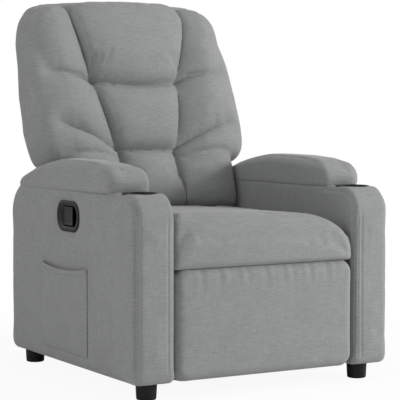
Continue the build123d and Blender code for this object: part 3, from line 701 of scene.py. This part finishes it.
arm_right = mirrored("arm_right", arm_left)
cup_hole = 0.0450
for piece, cup_middle in ((arm_left, Vector((cup_x, cup_y))), (arm_right, Vector((-cup_x, cup_y)))):
    opened(piece, lambda p: p.z > 0.5 and (p.xy - cup_middle).length < cup_hole, (0.0, 0.0, -0.03))
upholstered(arm_left, "base", "arm_cover_left", fill=0.9)


# Cup holders: black moulded cups dropped into a hole in the front of each arm, with a
# rolled rim that lies on the cloth.
for name, side_sign in (("left", 1), ("right", -1)):
    form = bmesh.new()
    turned(
        form,
        [
            (0.0, 0.450),
            (0.040, 0.450),
            (0.0427, 0.4515),
            (0.0435, 0.454),
            (0.0435, 0.522),
            (0.0472, 0.522),
            (0.0475, 0.5228),
            (0.0470, 0.5243),
            (0.0458, 0.5252),
            (0.0442, 0.5255),
            (0.0428, 0.5252),
            (0.0418, 0.5243),
            (0.0415, 0.5225),
            (0.0413, 0.459),
            (0.0405, 0.4555),
            (0.0385, 0.4535),
            (0.036, 0.453),
            (0.0, 0.453),
        ],
        (side_sign * cup_x, cup_y),
        steps=72,
    )
    closed_up(form)
    cup = put_in_scene("cup_" + name, form)
    cup.data.materials.append(moulded)
    smooth_faces(cup)
    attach(cup, "base")
    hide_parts("cup_holder_" + name)


# Arm pads: a boxed foam pad on top of each arm behind the cup, one strip of cloth over its
# top and front and a flat panel on each side, tacked down to the arm all round.
def copied(name, *nodes):
    """A new object with the joined mesh of some CAD solids."""
    form = bmesh.new()
    for node in nodes:
        form.from_mesh(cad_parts[node].data)
    bmesh.ops.remove_doubles(form, verts=form.verts, dist=1e-5)
    return put_in_scene(name, form)


# The pad's side, from the front foot over the top to the tail that lies over the arm's rear.
pad_side = [
    (-0.314, 0.5230),
    (-0.316, 0.5480),
    (-0.308, 0.5680),
    (-0.290, 0.5800),
    (-0.230, 0.5870),
    (-0.130, 0.5925),
    (-0.019, 0.5940),
    (0.042, 0.5890),
    (0.100, 0.5810),
    (0.154, 0.5685),
    (0.197, 0.5540),
    (0.230, 0.5420),
    (0.249, 0.5305),
    (0.251, 0.5150),
    (0.205, 0.5150),
]
pad_inner = arm_inner + 0.001
pad_outer = arm_outer + 0.006
form = bmesh.new()
form.faces.new([form.verts.new((pad_inner, y, z)) for y, z in pad_side])
pulled_out(form, form.faces[:], (pad_outer - pad_inner, 0.0, 0.0))
closed_up(form)
# The outer front corner is rounder than the other edges above the seam to the arm.
outer_front = [
    e
    for e in form.edges
    if all(v.co.x > pad_outer - 0.011 and v.co.y < -0.28 and v.co.z > 0.51 for v in e.verts)
]
eased(form, outer_front, radius=0.026, segments=4)
upper_edges = [
    e
    for e in form.edges
    if e.calc_face_angle(0) > math.radians(60) and max(v.co.z for v in e.verts) > arm_top + 0.005
]
eased(form, upper_edges, radius=0.012, segments=4)
arm_rest_left = put_in_scene("arm_rest_left", form)
evened(arm_rest_left, voxel=0.0045, rounds=8)
grown(arm_rest_left, by=0.004)
blown(arm_rest_left, cap=0.004, held=lambda points, facing: facing[:, 2] < -0.5)
kept_inside(arm_rest_left, (arm_inner - 0.001, -0.325, 0.49), (arm_outer + 0.008, 0.275, 0.5995))
finer(arm_rest_left)
arm_rest_right = mirrored("arm_rest_right", arm_rest_left)
upholstered(arm_rest_left, "base", "arm_pad_left", fill=0.9)
upholstered(arm_rest_right, "base", "arm_pad_right", fill=0.9)


# The pull handle: a black moulded bezel let into the right arm's outer side, with a paddle
# that turns on an upright pin at its rear edge and a gap in front of it for the fingers.
bezel_y = -0.061
bezel_z = 0.448
bezel_length = 0.136
bezel_height = 0.084
bezel_corner = 0.038


def past_rim(y, z):
    """How far a place on the arm's side lies outside the bezel's round-cornered rim."""
    past_y = np.abs(y - bezel_y) - (bezel_length / 2 - bezel_corner)
    past_z = np.abs(z - bezel_z) - (bezel_height / 2 - bezel_corner)
    return np.hypot(np.maximum(past_y, 0.0), np.maximum(past_z, 0.0)) - bezel_corner


# The cloth of the arm's outer side, which lies past side_panel, is pressed down under the bezel's
# rim, and cut out behind it.
side_panel = -0.37
pressed_to = -0.3858
points = points_of(arm_right)[0]
past = past_rim(points[:, 1], points[:, 2])
press = np.clip(1.0 - (past - 0.002) / 0.022, 0.0, 1.0) * (points[:, 0] < side_panel)
press = press * press * (3.0 - 2.0 * press)
points[:, 0] += (np.maximum(points[:, 0], pressed_to) - points[:, 0]) * press
move_points(arm_right, points)
opened(
    arm_right,
    lambda p: p.x < side_panel and past_rim(p.y, p.z) < -0.008,
    (0.02, 0.0, 0.0),
)
upholstered(arm_right, "base", "arm_cover_right", fill=0.9)


def rounded_plate(form, x, y, z, length, height, radius):
    """A flat plate in the bmesh that faces the chair's right, with round corners."""
    plate = [
        form.verts.new((x, y + a * length / 2, z + b * height / 2))
        for a, b in ((-1, -1), (-1, 1), (1, 1), (1, -1))
    ]
    form.faces.new(plate)
    eased(form, plate, radius, segments=10, affect="VERTICES")


def outermost(form):
    """The face that lies furthest to the chair's right."""
    form.faces.ensure_lookup_table()
    return min(form.faces, key=lambda f: (round(f.calc_center_median().x, 5), -f.calc_area()))


# Inside the well the moulding is left matt, and its colour is painted near black as painted shade for the
# deep well, where little light gets to it.
well_painted_shade, tree, out = new_material("matt_abs_painted_shade")
place = add_node(tree, "ShaderNodeTexCoord")
# Mould grain about 1 mm across, in near-black tones that are painted shade.
grit = add_node(
    tree, "ShaderNodeTexNoise", {"Vector": place.outputs["Object"], "Scale": 1000.0, "Detail": 2.0}
)
grit_tone = add_node(tree, "ShaderNodeValToRGB", {"Fac": grit.outputs["Fac"]})
grit_tone.color_ramp.elements[0].color = linear("#030303")
grit_tone.color_ramp.elements[1].color = linear("#090909")
plastic = add_node(
    tree,
    "ShaderNodeBsdfPrincipled",
    {"Base Color": grit_tone.outputs["Color"], "Roughness": 0.9, "IOR": 1.54, "Specular IOR Level": 0.05},
)
tree.links.new(plastic.outputs[0], out.inputs["Surface"])

bezel_back = -0.3620
bezel_thick = 0.0260
rim_width = 0.013
well_deep = 0.024
# The rim's section, from its outer edge over a soft crown to the mouth: steps in and out.
rim_steps = [
    (0.0012, 0.0007),
    (0.0022, 0.0005),
    (0.0076, 0.0001),
    (0.0012, -0.0006),
    (0.0008, -0.0012),
]
form = bmesh.new()
rounded_plate(form, bezel_back, bezel_y, bezel_z, bezel_length, bezel_height, bezel_corner)
pulled_out(form, form.faces[:], (-bezel_thick, 0.0, 0.0))
closed_up(form)
mouth = outermost(form)
for width, lift in rim_steps:
    bmesh.ops.inset_region(form, faces=[mouth], thickness=width, depth=lift, use_even_offset=True)
# The mouth stands forward of the middle, where the fingers go in.
mouth_length = 0.096
mouth_height = 0.056
middle = mouth.calc_center_median()
bmesh.ops.scale(
    form,
    vec=(1.0, mouth_length / (bezel_length - 2 * rim_width), mouth_height / (bezel_height - 2 * rim_width)),
    space=Matrix.Translation(-middle),
    verts=mouth.verts[:],
)
mouth_forward = 0.008
bmesh.ops.translate(form, vec=(0.0, -mouth_forward, 0.0), verts=mouth.verts[:])
pulled_out(form, [mouth], (well_deep, 0.0, 0.0))
bmesh.ops.delete(form, geom=[mouth], context="FACES_ONLY")
closed_up(form)
# Where the well's painted shade begins behind the rim, its middle and half its length.
well_x = -0.384
well_y = -0.07
well_half = 0.052
# Faces inside the well take the material with the painted shade.
for face in form.faces:
    middle = face.calc_center_median()
    in_shaded_well = middle.x > well_x and abs(middle.y - well_y) < well_half
    face.material_index = int(in_shaded_well)
bezel = put_in_scene("handle_surround", form)
bezel.data.materials.append(moulded)
bezel.data.materials.append(well_painted_shade)
smooth_faces(bezel, angle=40)
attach(bezel, "base")
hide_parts("handle_bezel")

# The paddle has a shallow dish for the fingertips and a rounded free edge in front.
paddle_size = (0.006, 0.0635, 0.050)
paddle_x = -0.384
paddle_y = -0.0543
pin_y = -0.028
form = bmesh.new()
bmesh.ops.create_cube(form, size=1.0)
bmesh.ops.scale(form, vec=paddle_size, verts=form.verts)
bmesh.ops.translate(form, vec=(paddle_x, paddle_y, bezel_z), verts=form.verts)
bmesh.ops.inset_region(form, faces=[outermost(form)], thickness=0.005, depth=0.0, use_even_offset=True)
dish = outermost(form)
for corner in dish.verts:
    corner.co.x += 0.0014
eased(form, form.edges[:], radius=0.0016, segments=3)
# Its rear edge is a barrel round the pin.
barrel = [
    (0.0, 0.4232),
    (0.0034, 0.4232),
    (0.0040, 0.4238),
    (0.0040, 0.4722),
    (0.0034, 0.4728),
    (0.0, 0.4728),
]
turned(form, barrel, (paddle_x, pin_y), steps=24)
closed_up(form)
paddle = put_in_scene("handle_paddle", form)
paddle.data.materials.append(moulded)
smooth_faces(paddle, angle=40)
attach(paddle, "handle")
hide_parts("pull_handle")


# The side pocket: one panel of the same cloth, hemmed at its top edge and sewn to the right
# arm along its sides and foot, so that it stands a little open.
pocket_front = -0.188
pocket_rear = 0.087
pocket_low = 0.082
pocket_high = 0.316
pocket_sag = 0.012
pocket_wide = pocket_rear - pocket_front
pocket_tall = pocket_high - pocket_low
form = bmesh.new()
bmesh.ops.create_grid(form, x_segments=88, y_segments=76, size=0.5)
panel = put_in_scene("side_pocket_panel", form)
points = points_of(panel)[0]
across = points[:, 0] + 0.5
up = points[:, 1] + 0.5
bow = 1.0 - (2.0 * across - 1.0) ** 2
stand = (0.4 + 0.6 * up**2) * (1.0 - np.abs(2.0 * across - 1.0) ** 6) * np.clip(up / 0.08, 0.0, 1.0)
hem = np.clip((up - 0.935) / 0.006, 0.0, 1.0)
stitch = np.exp(-(((up - 0.932) / 0.008) ** 2))
edges = np.minimum(np.minimum(across * pocket_wide, (1.0 - across) * pocket_wide), up * pocket_tall)
seam = np.exp(-(((edges - 0.006) / 0.0022) ** 2))
pocket_x = -0.3935
points[:, 0] = pocket_x - 0.0090 * stand - 0.0010 * hem + 0.0016 * stitch + 0.0006 * seam
points[:, 1] = pocket_rear - across * pocket_wide
points[:, 2] = pocket_low + up * (pocket_tall - pocket_sag * bow)
move_points(panel, points)
thick = panel.modifiers.new("cloth", "SOLIDIFY")
thick.thickness = 0.0016
thick.offset = 0.0
settle(panel)
panel.data.materials.append(cloth)
for face in panel.data.polygons:
    face.use_smooth = True
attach(panel, "base")
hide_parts("side_pocket")


# Seat cushion: a foam block on springs, in one cover that rolls over the front edge and
# hangs as a short lip above the footrest.
seat = copied("seat", "seat_cushion")
low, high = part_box("seat_cushion")
points = points_of(seat)[0]
seat_half = 0.2705
points[:, 0] = np.clip(points[:, 0] * 1.02, -seat_half, seat_half)
# Behind its front edge the foam lies flatter than the springs' crown.
points[:, 2] -= faded(points[:, 2], 0.41, 0.45) * (0.008 + 0.014 * faded(points[:, 1], -0.42, -0.24))
move_points(seat, points)
# The cover is stuffed fuller towards the right arm: width and height of its front edge.
seat_edge = [
    (0.252, 0.380),
    (0.228, 0.408),
    (0.201, 0.430),
    (0.165, 0.4475),
    (0.077, 0.4555),
    (-0.047, 0.459),
    (-0.197, 0.462),
    (-0.252, 0.464),
    (-0.265, 0.459),
    (-0.2695, 0.447),
    (-0.2695, 0.380),
]
seat_lip = -0.437
seat_fill_rear = 0.06
form = bmesh.new()
form.faces.new([form.verts.new((x, seat_lip, z)) for x, z in seat_edge])
pulled_out(form, form.faces[:], (0.0, seat_fill_rear - seat_lip, -0.014))
closed_up(form)
crest = [e for e in form.edges if all(v.co.y < -0.4 and v.co.z > 0.44 for v in e.verts)]
eased(form, crest, radius=0.010, segments=4)
# The lip below it is square to both ends.
lip_size = (0.539, 0.014, 0.06)
lip_middle = (0.0, -0.432, 0.3635)
lip = bmesh.ops.create_cube(form, size=1.0)["verts"]
bmesh.ops.scale(form, vec=lip_size, verts=lip)
bmesh.ops.translate(form, vec=lip_middle, verts=lip)
form.from_mesh(seat.data)
form.to_mesh(seat.data)
form.free()
evened(seat, voxel=0.006, rounds=4)
grown(seat, by=0.005)
blown(
    seat,
    cap=0.006,
    held=lambda points, facing: (facing[:, 2] < -0.6) | ((facing[:, 1] > 0.6) & (points[:, 1] < 0.1)),
)
# Half the width that the arms leave for the cover.
seat_room = 0.2728
kept_inside(
    seat,
    (-seat_room, low.y - 0.008, low.z - 0.001),
    (seat_room, high.y + 0.004, high.z + 0.004),
)
finer(seat)
sewn(seat, [(-0.26, -0.428), (0.26, -0.428)], side=3, depth=0.0030, width=0.0055)
upholstered(seat, "seat", "seat_cushion", fill=0.7)


# Footrest: a foam pad over a plywood board that hangs below the seat's lip when folded.
footrest = copied("footrest", "footrest_pad")
low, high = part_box("footrest_pad")
evened(footrest, voxel=0.006, rounds=3)
grown(footrest, by=0.010)
blown(footrest, cap=0.004, held=lambda points, facing: facing[:, 1] > 0.6)
footrest_room = 0.2722
kept_inside(
    footrest,
    (-footrest_room, low.y - 0.008, low.z - 0.003),
    (footrest_room, high.y, high.z + 0.0015),
)
finer(footrest)
# Faint gathers below the top edge and beside the right edge.
for path, depth, pitch, spread in (
    ([(-0.255, 0.316), (0.255, 0.316)], 0.0006, 0.047, 0.030),
    ([(-0.262, 0.07), (-0.262, 0.31)], 0.0, 0.055, 0.022),
):
    sewn(footrest, path, -2, depth, width=0.006, gather=0.0008, pitch=pitch, spread=spread)
upholstered(footrest, "footrest", "footrest_pad", fill=0.7)


# The back: one sewn cover over foam, a headrest, a lumbar panel and a strip down the middle
# and three fluted wings on each side that wrap round to a plain rear panel. Its seams are
# pulled in to the webbing; the wing seams die out before they reach the outer edge.
back_lean = math.radians(21.6)
back_y = 0.212
back_z = 0.609


def on_back(x, t, n):
    """A place on the back, from its width, its height along the lean and its depth to the front."""
    return (
        x,
        back_y + t * math.sin(back_lean) - n * math.cos(back_lean),
        back_z + t * math.cos(back_lean) + n * math.sin(back_lean),
    )


def off_back(points):
    """Width, height and depth on the back, from places in the chair."""
    y = points[:, 1] - back_y
    z = points[:, 2] - back_z
    t = y * math.sin(back_lean) + z * math.cos(back_lean)
    n = z * math.sin(back_lean) - y * math.cos(back_lean)
    return np.stack([points[:, 0], t, n], axis=1)


def added(form, extra):
    """Puts a second bmesh into the first, and frees it."""
    mesh = bpy.data.meshes.new("stuffing")
    extra.to_mesh(mesh)
    extra.free()
    form.from_mesh(mesh)
    bpy.data.meshes.remove(mesh)


def stuffed(form, node, gain, fullness, sag=0.0, spread=0.0, thin=0.0, ramp=0.0):
    """Adds one of the back's chambers, stuffed from its CAD form: gain times as high, with steeper sides
    the lower its fullness, heavier below by sag, bulging past its side seams by spread, thin towards the
    back's outer edge, and rising from its inner seam over the width of ramp."""
    pad = bmesh.new()
    pad.from_mesh(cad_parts[node].data)
    bmesh.ops.remove_doubles(pad, verts=pad.verts, dist=1e-5)
    bmesh.ops.subdivide_edges(pad, edges=pad.edges[:], cuts=1, use_grid_fill=True)
    x, t, n = off_back(np.array([v.co for v in pad.verts])).T
    crown = n.max() - back_seam
    rise = np.maximum(n - back_seam, 0.0) / crown
    share = (t - t.min()) / (t.max() - t.min())
    lift = crown * gain * rise**fullness * (1.0 + sag * (0.5 - share))
    lift *= 1.0 - thin * faded(np.abs(x), 0.24, 0.31)
    if ramp:
        inner = np.interp(t, (-0.190, 0.0, 0.220, 0.486), (0.088, 0.0905, 0.1335, 0.189))
        lift *= np.clip((np.abs(x) - inner) / ramp, 0.0, 1.0) ** 0.6
    n = np.where(n > back_seam, back_seam + lift, n)
    x = x * (1.0 + spread * np.sqrt(rise) * np.sqrt(np.clip(4.0 * share * (1.0 - share), 0.0, 1.0)))
    x = np.clip(x, -chamber_half, chamber_half)
    for point, place in zip(pad.verts, np.stack(on_back(x, t, n), axis=1)):
        point.co = place
    added(form, pad)


# How deep the seams lie on the back, and how far out its chambers reach under the bolsters.
back_seam = -0.008
chamber_half = 0.297
form = bmesh.new()
form.from_mesh(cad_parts["back_rear_cover"].data)
stuffed(form, "headrest_pad", gain=1.4, fullness=0.34, sag=0.2, spread=0.25)
stuffed(form, "lumbar_pad", gain=1.25, fullness=0.38, sag=0.2, spread=0.24)
stuffed(form, "lower_back_pad", gain=1.05, fullness=0.5)
stuffed(form, "wing_pads_left", gain=1.0, fullness=0.34, thin=0.35, ramp=0.09)
stuffed(form, "wing_pads_right", gain=1.0, fullness=0.34, thin=0.35, ramp=0.09)
back_half = 0.317
bolster_inner = 0.205
# The wings' outer bolsters, as the side of the chair shows them: height and depth. Their fronts
# fall away inwards, down to the seams.
bolster = [
    (-0.024, -0.030),
    (-0.020, 0.000),
    (-0.006, 0.022),
    (0.020, 0.034),
    (0.061, 0.041),
    (0.160, 0.043),
    (0.290, 0.028),
    (0.398, -0.022),
    (0.440, -0.026),
    (0.450, -0.046),
    (0.438, -0.072),
    (0.393, -0.099),
    (0.291, -0.127),
    (0.091, -0.146),
    (0.010, -0.132),
    (-0.012, -0.112),
    (-0.024, -0.080),
]
for side_sign in (1, -1):
    slab = bmesh.new()
    slab.faces.new([slab.verts.new(on_back(side_sign * back_half, t, n)) for t, n in bolster])
    pulled_out(slab, slab.faces[:], (side_sign * (bolster_inner - back_half), 0.0, 0.0))
    for point in slab.verts:
        x, t, n = off_back(np.array([point.co]))[0]
        if abs(x) < bolster_inner + 0.001 and n > -0.05:
            point.co = on_back(x, t, n - 0.046)
    closed_up(slab)
    outer_edges = [e for e in slab.edges if all(abs(v.co.x) > back_half - 0.001 for v in e.verts)]
    eased(slab, outer_edges, radius=0.018, segments=3)
    added(form, slab)
# Below the lowest wing seam one panel of cloth runs on down between the arms: half width and depth
# of its stuffing.
low_panel = [
    (0.120, -0.040),
    (0.120, 0.008),
    (0.138, 0.024),
    (0.168, 0.037),
    (0.205, 0.046),
    (0.238, 0.043),
    (0.256, 0.033),
    (0.256, -0.040),
]
low_panel_top = 0.012
low_panel_end = -0.110
for side_sign in (1, -1):
    slab = bmesh.new()
    slab.faces.new([slab.verts.new(on_back(side_sign * x, low_panel_top, n)) for x, n in low_panel])
    down = Vector(on_back(0.0, low_panel_end, -0.004)) - Vector(on_back(0.0, low_panel_top, 0.0))
    pulled_out(slab, slab.faces[:], down)
    closed_up(slab)
    added(form, slab)
# The roll along the top of the wings and headrest, behind the seams: half width and height.
top_edge = [
    (0.306, 0.360),
    (0.306, 0.420),
    (0.301, 0.456),
    (0.287, 0.474),
    (0.250, 0.482),
    (0.189, 0.487),
    (0.100, 0.491),
]
roll_front = -0.020
roll_rear = -0.064
roll = bmesh.new()
whole_edge = top_edge + [(-x, t) for x, t in reversed(top_edge)]
roll.faces.new([roll.verts.new(on_back(x, t, roll_front)) for x, t in whole_edge])
backwards = Vector(on_back(0.0, 0.0, roll_rear)) - Vector(on_back(0.0, 0.0, roll_front))
pulled_out(roll, roll.faces[:], backwards)
closed_up(roll)
roll_edges = [e for e in roll.edges if e.calc_face_angle(0) > math.radians(60)]
eased(roll, roll_edges, radius=0.014, segments=3)
added(form, roll)
back = put_in_scene("back", form)
evened(back, voxel=0.0065, rounds=3)
grown(back, by=0.006)

# Each seam on one half of the back: how hard it is pulled at its two ends, and where it runs.
back_seams = [
    (0.1, 0.3, [(0.189, 0.486), (0.1335, 0.220)]),
    (1.0, 1.0, [(0.0, 0.216), (0.1335, 0.220)]),
    (1.0, 0.0, [(0.1335, 0.220), (0.200, 0.228), (0.305, 0.247)]),
    (0.1, 0.1, [(0.1335, 0.220), (0.116, 0.169), (0.104, 0.121), (0.0957, 0.064), (0.0905, 0.0)]),
    (1.0, 1.0, [(0.0, -0.003), (0.0905, 0.0)]),
    (1.0, 0.0, [(0.0905, 0.0), (0.150, 0.024), (0.194, 0.045), (0.305, 0.089)]),
    (0.9, 0.0, [(0.0905, 0.0), (0.088, -0.150)]),
]


def seam_pull(there, width):
    """How far a seam draws in each point of the back, from 0 to 1, and the length along that seam."""
    half = np.stack([np.abs(there[:, 0]), there[:, 1]], axis=1)
    pull = np.zeros(len(half))
    along = np.zeros(len(half))
    for first, last, seam in back_seams:
        lengths = [math.dist(a, b) for a, b in zip(seam, seam[1:])]
        run = 0.0
        for a, b, length in zip(seam, seam[1:], lengths):
            a, b = np.array(a), np.array(b)
            share = np.clip(((half - a) @ (b - a)) / length**2, 0.0, 1.0)
            gap = np.linalg.norm(half - a - share[:, None] * (b - a), axis=1)
            place = (run + share * length) / sum(lengths)
            here = (first + (last - first) * place**1.5) * np.exp(-gap / width)
            along = np.where(here > pull, run + share * length, along)
            pull = np.maximum(pull, here)
            run += length
    return pull, along


def drawn_in(piece, depth, width, gather=0.0, pitch=0.02):
    """Draws the back's front in along its seams, with gathers in the cloth beside them."""
    points, facing = points_of(piece)
    there = off_back(points)
    into = np.array([0.0, math.cos(back_lean), -math.sin(back_lean)])
    front = np.clip(-(facing @ into) * 2.0, 0.0, 1.0) * faded(there[:, 2], -0.07, -0.04)
    pull, along = seam_pull(there, width)
    turns = along / pitch * math.tau
    wave = np.sin(turns) + 0.7 * np.sin(1.63 * turns + there[:, 0] * 40)
    move_points(piece, points + into * ((depth + gather * wave) * pull * front)[:, None])


drawn_in(back, depth=0.006, width=0.016)
# The wings swell outwards below their shoulders.
points = points_of(back)[0]
swell = faded(off_back(points)[:, 1], 0.43, 0.23) * faded(np.abs(points[:, 0]), 0.2, 0.3)
points[:, 0] += np.sign(points[:, 0]) * 0.005 * swell
move_points(back, points)
blown(
    back,
    cap=0.012,
    held=lambda points, facing: seam_pull(off_back(points), width=0.008)[0] > 0.45,
)
# The wings' outer sides are one round bolster, with no edge between side and front.
bolster_start = 0.250
smoothing_rounds = 16
form = bmesh.new()
form.from_mesh(back.data)
outer = [v for v in form.verts if abs(v.co.x) > bolster_start]
for step in range(smoothing_rounds):
    bmesh.ops.smooth_vert(
        form, verts=outer, factor=0.5, use_axis_x=True, use_axis_y=True, use_axis_z=True
    )
form.to_mesh(back.data)
form.free()
finer(back)
drawn_in(back, depth=0.006, width=0.012, gather=0.0008, pitch=0.037)
drawn_in(back, depth=0.007, width=0.005)
# The headrest hangs over the lumbar panel, and takes the seam between them down with it.
x, t, n = off_back(points_of(back)[0]).T
hang = 0.007 + 0.011 * np.clip(1.0 - (x / 0.1335) ** 2, 0.0, 1.0)
hang *= faded(np.abs(x), 0.175, 0.135) * np.exp(-(((t - 0.218) / 0.055) ** 2))
t = t - hang * faded(n, -0.06, -0.03)
# Below the wings the back stays between the arms, and the wings stay above them.
wing_end = -0.031
back_end = -0.193
low_half = 0.2715
x = np.where(t < wing_end, np.clip(x, -low_half, low_half), x)
t = np.where(np.abs(x) > low_half, np.maximum(t, wing_end), np.maximum(t, back_end))
move_points(back, np.stack(on_back(x, t, n), axis=1))
upholstered(
    back,
    "back",
    "back_rear_cover",
    "wing_pads_left",
    "wing_pads_right",
    "headrest_pad",
    "lumbar_pad",
    "lower_back_pad",
    fill=0.7,
)
